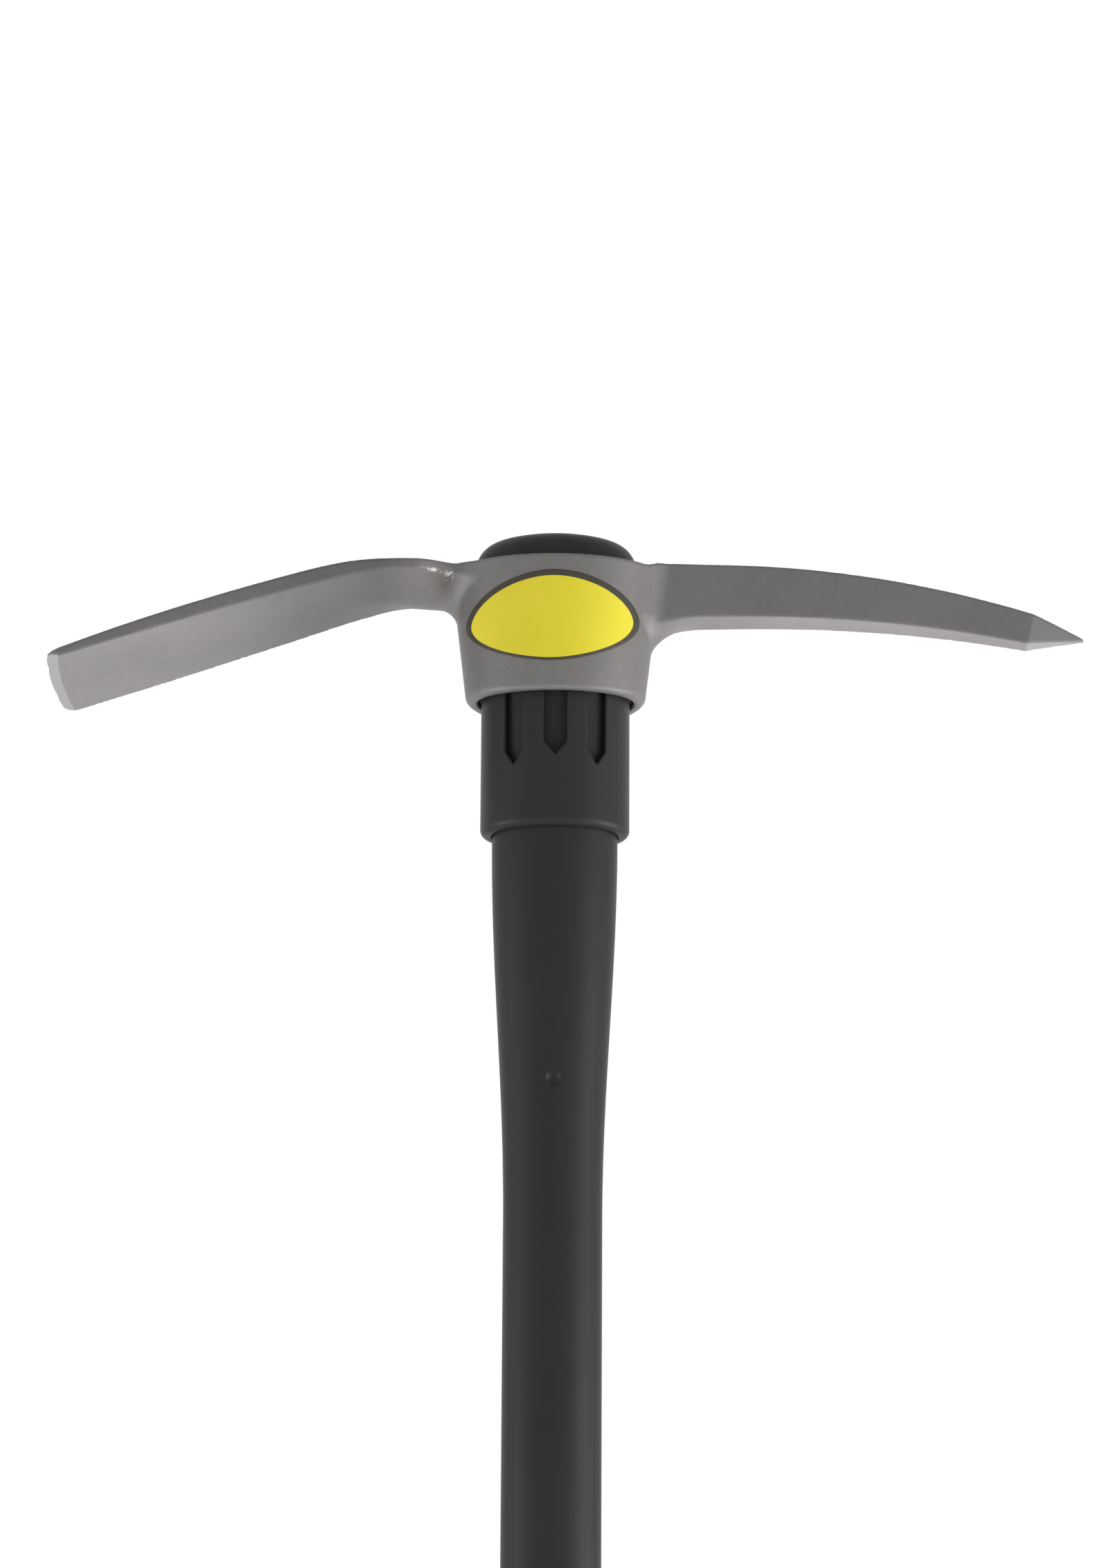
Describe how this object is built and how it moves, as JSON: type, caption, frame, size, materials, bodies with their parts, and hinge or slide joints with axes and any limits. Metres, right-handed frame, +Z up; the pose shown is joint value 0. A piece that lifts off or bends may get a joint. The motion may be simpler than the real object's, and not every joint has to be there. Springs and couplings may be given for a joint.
{
  "type": "mattock",
  "caption": "Pick mattock: forged steel head with a broad hoe blade and a curved pick, on an oval moulded handle with a slotted collar and a rubber grip sleeve.",
  "frame": {"origin": "centre of the butt's flat end face, on the handle's axis", "axes": "+Z up the handle to the head, +X towards the pick's point, -X towards the hoe's edge, -Y the cheek with the label"},
  "size_m": [0.4027, 0.075, 0.914],
  "materials": {
    "forged_steel": "blasted matte grey",
    "moulded_black": "satin black",
    "fibreglass": "drawn glass fibre in resin",
    "resin": "set resin",
    "collar_black": "satin black",
    "grip_rubber": "matte, grooved",
    "label_film": "plain yellow film with a dark border"
  },
  "bodies": {
    "root": {"mattock_head": "forged_steel", "handle_jacket": "moulded_black", "fibreglass_core": "fibreglass", "eye_bond": "resin", "wedge_collar": "collar_black", "grip_sleeve": "grip_rubber", "label": "label_film"}
  },
  "joints": []
}
